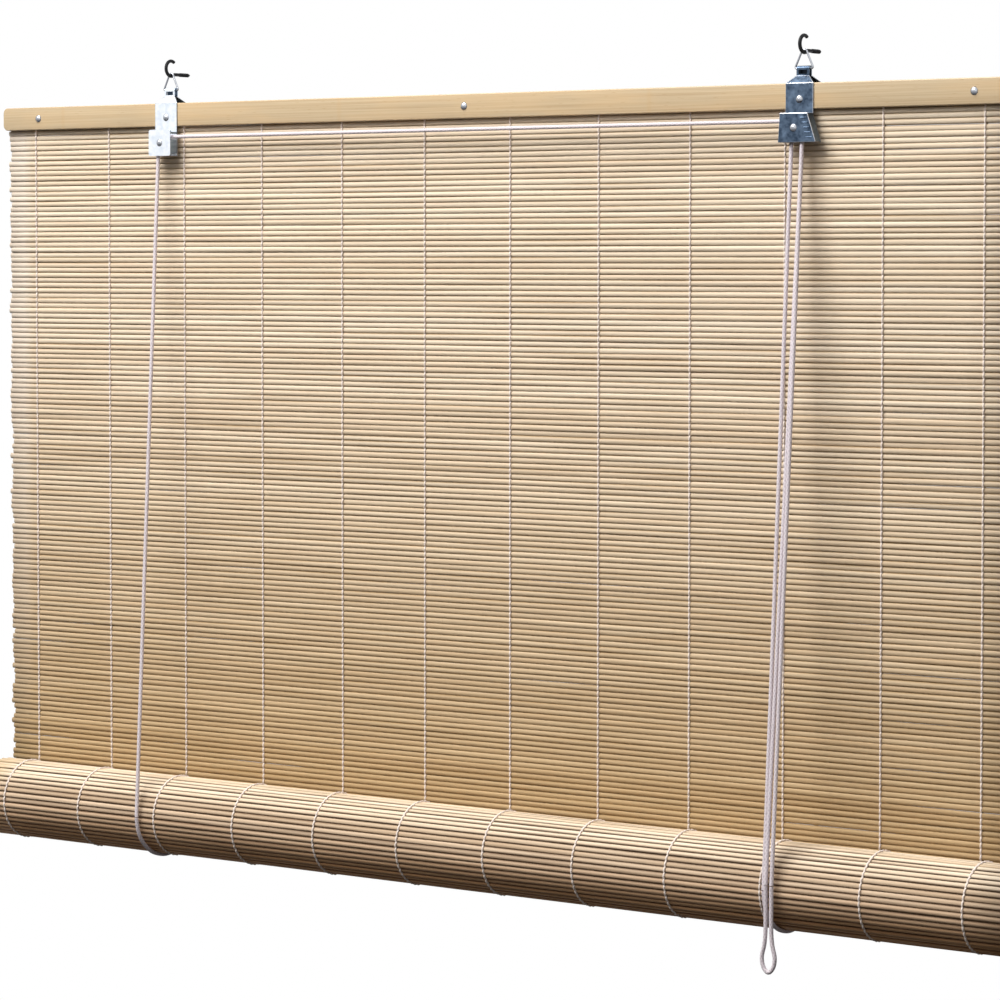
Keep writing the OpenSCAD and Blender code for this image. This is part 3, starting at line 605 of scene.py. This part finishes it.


# Hangers: folded sheet steel, riveted over the rail, with bright zinc on the left and blue zinc on the right.
# Straps, guide box and cord lock are the CAD forms with broken edges, painted bright steel as a highlight
# along the folds.
def zinc(name, dark, light, wall, inside, roughness):
    rail_middle_y = -0.014
    made, tree, shader = material(name, roughness)
    shader.inputs["Metallic"].default_value = 0.85
    cloud = noise(tree, coordinate(tree, "Object"), 220.0, 5)
    facing = parts_of(tree, coordinate(tree, "Normal"))
    spot = parts_of(tree, coordinate(tree, "Object"))
    # Painted shade: room-facing faces behind the rail's middle take the inside colour, for the pockets of the
    # folds.
    behind = maths(tree, "GREATER_THAN", spot["Y"], rail_middle_y)
    roomward = maths(tree, "LESS_THAN", facing["Y"], -0.5)
    # Painted shade: faces turned sideways take the wall colour, for the shaded side walls.
    sideways = ramp(tree, maths(tree, "ABSOLUTE", facing["X"]), 0.6, 0.9, 0.0, 0.9)
    colour = blend(tree, ramp(tree, cloud, 0.3, 0.7, 0.0, 1.0), dark, light)
    colour = blend(tree, sideways, colour, wall)
    colour = blend(tree, maths(tree, "MULTIPLY", behind, roomward), colour, inside)
    dress(tree, shader, colour, cloud, 0.1)
    return made


bright_zinc = zinc("bright_zinc", dark="#DAE3EE", light="#F8FBFF", wall="#7F96B0", inside="#3C4A5A",
                   roughness=0.35)
blue_zinc = zinc("blue_zinc", dark="#2B394B", light="#63758B", wall="#5C6A78", inside="#161D26",
                 roughness=0.34)
# The bevels take bright steel, the second material: a painted highlight along the broken edges.
for name, finish, edge in (("left_strap", bright_zinc, 0.0002), ("left_guide_box", bright_zinc, 0.0002),
                           ("right_strap", blue_zinc, 0.0003), ("right_cord_lock", blue_zinc, 0.00045)):
    piece = shown(name + "_sheet", softened(name, edge), finish, "blind", name)
    piece.data.materials.append(bright)


# Pulleys: turned wheels of grey plastic, inside the box and the lock, that keep the CAD form.
# They turn on the axle rivets.
grey, tree, shader = material("grey_nylon", 0.45)
cloud = noise(tree, coordinate(tree, "Object"), 300.0)
dress(tree, shader, blend(tree, cloud, "#5A5E63", "#7A7E83"))
for name in ("left_pulley", "right_pulley"):
    finished(name, grey)


# Rings: bright steel wire bent to a rounded triangle, smooth copies of the CAD forms.
# Each hangs in a hook and runs through the neck of a strap.
for name in ("left_ring", "right_ring"):
    piece = shown(name + "_wire", softened(name, 0.0), bright, "wall_hooks", name)


# Hooks: black screw hooks of 2.8 mm wire, turned into the wall, smooth copies of the CAD forms.
# A fine raised thread, 1.3 mm a turn, runs round the shank and fades out at both ends.
black, tree, shader = material("black_lacquer", 0.5)
shader.inputs["Specular IOR Level"].default_value = 0.2
cloud = noise(tree, coordinate(tree, "Object"), 500.0, 3)
dress(tree, shader, blend(tree, cloud, "#08080A", "#1E1F23"))

hook_x, shank_r = 0.312, 0.0014
screw_pitch, screw_start, screw_length, screw_steps = 0.0013, -0.004, 0.0125, 160
point_share, point_length = 0.35, 0.0015
ridge_r, ridge_least, ridge_fade = 0.0003, 0.2, 12


def screw_line(x):
    line = []
    for i in range(screw_steps + 1):
        way = i / screw_steps * screw_length
        turn = 2 * math.pi * way / screw_pitch
        r = shank_r * min(1.0, point_share + (screw_length - way) / point_length)
        line.append(Vector((x + r * math.cos(turn), screw_start + way, r * math.sin(turn))))
    return line


def ridge_height(t):
    return ridge_r * max(ridge_least, min(1.0, ridge_fade * t, ridge_fade * (1 - t)))


for side, x in (("left", -hook_x), ("right", hook_x)):
    piece = shown(side + "_hook_wire", softened(side + "_hook", 0.0), black, "wall_hooks", side + "_hook")
    ridge = tube(side + "_thread", screw_line(x), ridge_height, 6)
    piece = shown(side + "_hook_thread", ridge, black, "wall_hooks")


# Knots: the upper end of each lift cord, of the same cotton, tied behind the rail.
# Each is a closed tube wound as an overhand knot.
knot_z, knot_r, knot_depth, knot_cord_r, knot_points = -0.0289, 0.00055, 0.0009, 0.0013, 72
for side, x in (("left", left_run_x), ("right", right_run_x)):
    centre = Vector((x, back_y, knot_z))
    turns = [2 * math.pi * i / knot_points for i in range(knot_points)]
    line = [centre + Vector((knot_r * (math.sin(t) + 2 * math.sin(2 * t)), knot_depth * -math.sin(3 * t),
                             knot_r * (math.cos(t) - 2 * math.cos(2 * t)))) for t in turns]
    knot = tube(side + "_knot", line, knot_cord_r, 10, True)
    piece = shown(side + "_knot_braid", knot, cotton, "blind", side + "_knot")


# Room: a floor far below the blind, soft light from above and a white background. None is part of the object.
# The floor and the world show white to the camera, in reflections and through clear things.
# The floor itself is dark and gives back little light.
def seen_directly(tree):
    ray = add(tree, "ShaderNodeLightPath").outputs
    direct = maths(tree, "MAXIMUM", ray["Is Camera Ray"], ray["Is Glossy Ray"])
    return maths(tree, "MAXIMUM", direct, ray["Is Transmission Ray"])


floor_size, floor_z = 4.0, -2.0
plain_white = (1.0, 1.0, 1.0, 1.0)
room_mesh = bmesh.new()
bmesh.ops.create_grid(room_mesh, x_segments=1, y_segments=1, size=floor_size)
floor_data = bpy.data.meshes.new("floor")
room_mesh.to_mesh(floor_data)
room_mesh.free()
for vertex in floor_data.vertices:
    vertex.co.z = floor_z
floor = bpy.data.objects.new("floor", floor_data)
bpy.context.scene.collection.objects.link(floor)
paint, tree, shader = material("pale_floor_paint", 0.9)
shader.inputs["Base Color"].default_value = srgb("#2E2D2B")
white = add(tree, "ShaderNodeEmission", None, {"Color": plain_white, "Strength": 1.0})
mixed = add(tree, "ShaderNodeMixShader", None, {
    0: seen_directly(tree), 1: shader.outputs[0], 2: white.outputs[0]})
tree.links.new(mixed.outputs[0], tree.nodes["Material Output"].inputs["Surface"])
floor_data.materials.append(paint)

world = bpy.data.worlds.new("studio")
bpy.context.scene.world = world
world.use_nodes = True
tree = world.node_tree
tree.nodes.clear()
sky = ramp(tree, parts_of(tree, coordinate(tree, "Generated"))["Z"], 0.05, 0.95, 0.0, 1.0)
fill = add(tree, "ShaderNodeBackground", None, {"Color": (1.0, 0.99, 0.97, 1.0), "Strength": sky})
white = add(tree, "ShaderNodeBackground", None, {"Color": plain_white, "Strength": 1.0})
mixed = add(tree, "ShaderNodeMixShader", None, {
    0: seen_directly(tree), 1: fill.outputs[0], 2: white.outputs[0]})
add(tree, "ShaderNodeOutputWorld", None, {0: mixed.outputs[0]})


def area_light(name, place, target, size, power, tint):
    data = bpy.data.lights.new(name, "AREA")
    data.size = size
    data.energy = power
    data.color = tint
    made = bpy.data.objects.new(name, data)
    bpy.context.scene.collection.objects.link(made)
    made.location = place
    made.rotation_euler = (Vector(target) - Vector(place)).to_track_quat("-Z", "Y").to_euler()
    made.visible_camera = False


area_light("key", (-0.5, -1.45, 1.8), (0.05, 0.0, -0.35), size=1.8, power=107.0, tint=(1.0, 0.99, 0.97))
area_light("front", (1.5, -2.5, 0.4), (0.1, 0.0, -0.3), size=1.5, power=4.0, tint=(0.99, 0.99, 1.0))

bpy.context.scene.view_settings.view_transform = "Standard"
